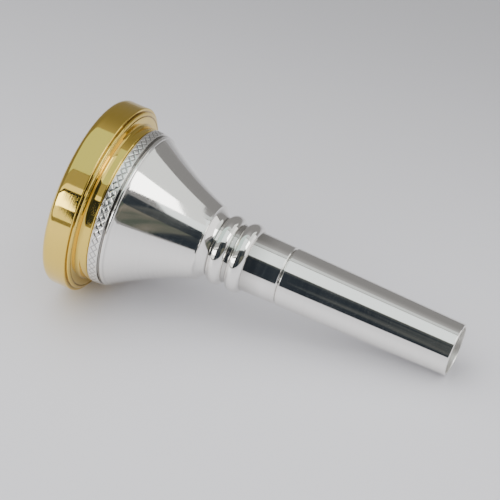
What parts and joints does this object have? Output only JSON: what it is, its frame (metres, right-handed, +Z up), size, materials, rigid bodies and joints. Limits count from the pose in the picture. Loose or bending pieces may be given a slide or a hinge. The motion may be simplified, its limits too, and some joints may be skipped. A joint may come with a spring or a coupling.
{
  "type": "brass instrument mouthpiece",
  "caption": "Three-part screw-together mouthpiece for a brass instrument: rounded rim, cup with beaded neck, and tapered shank.",
  "frame": {"origin": "the middle of the mouthpiece's footprint, on the ground it lies on", "axes": "+X toward the open end of the shank and -X toward the rim, +Z up; the turning axis leans from the shank up to the rim, as the piece lies on a table"},
  "size_m": [0.0848, 0.0398, 0.0398],
  "materials": {
    "gold_plate": "polished gold plate on brass",
    "silver_plate": "polished silver plate on brass",
    "black_rubber": "matte nitrile"
  },
  "bodies": {
    "cup": {"cup": "silver_plate"},
    "rim_o_ring": {"rim_o_ring": "black_rubber"},
    "rim": {"rim": "gold_plate"},
    "shank_o_ring": {"shank_o_ring": "black_rubber"},
    "shank": {"shank": "silver_plate"}
  },
  "joints": [
    {"name": "rim_travel", "type": "slide", "parent": "cup", "child": "rim_o_ring", "axis": [-0.9824, 0, 0.1866], "range_m": [0, 0.00315]},
    {"name": "rim_turn", "type": "hinge", "parent": "rim_o_ring", "child": "rim", "pos_m": [-0.03222, 0, 0.0193], "axis": [-0.9824, 0, 0.1866], "range_deg": [0, 900]},
    {"name": "shank_travel", "type": "slide", "parent": "cup", "child": "shank_o_ring", "axis": [0.9824, 0, -0.1866], "range_m": [0, 0.00455]},
    {"name": "shank_turn", "type": "hinge", "parent": "shank_o_ring", "child": "shank", "pos_m": [0.0053, 0, 0.01217], "axis": [0.9824, 0, -0.1866], "range_deg": [0, 1620]}
  ],
  "couplings": [
    {"joint": "rim_travel", "follows": "rim_turn", "m_per_rad": 0.00019894},
    {"joint": "shank_travel", "follows": "shank_turn", "m_per_rad": 0.00015915}
  ]
}
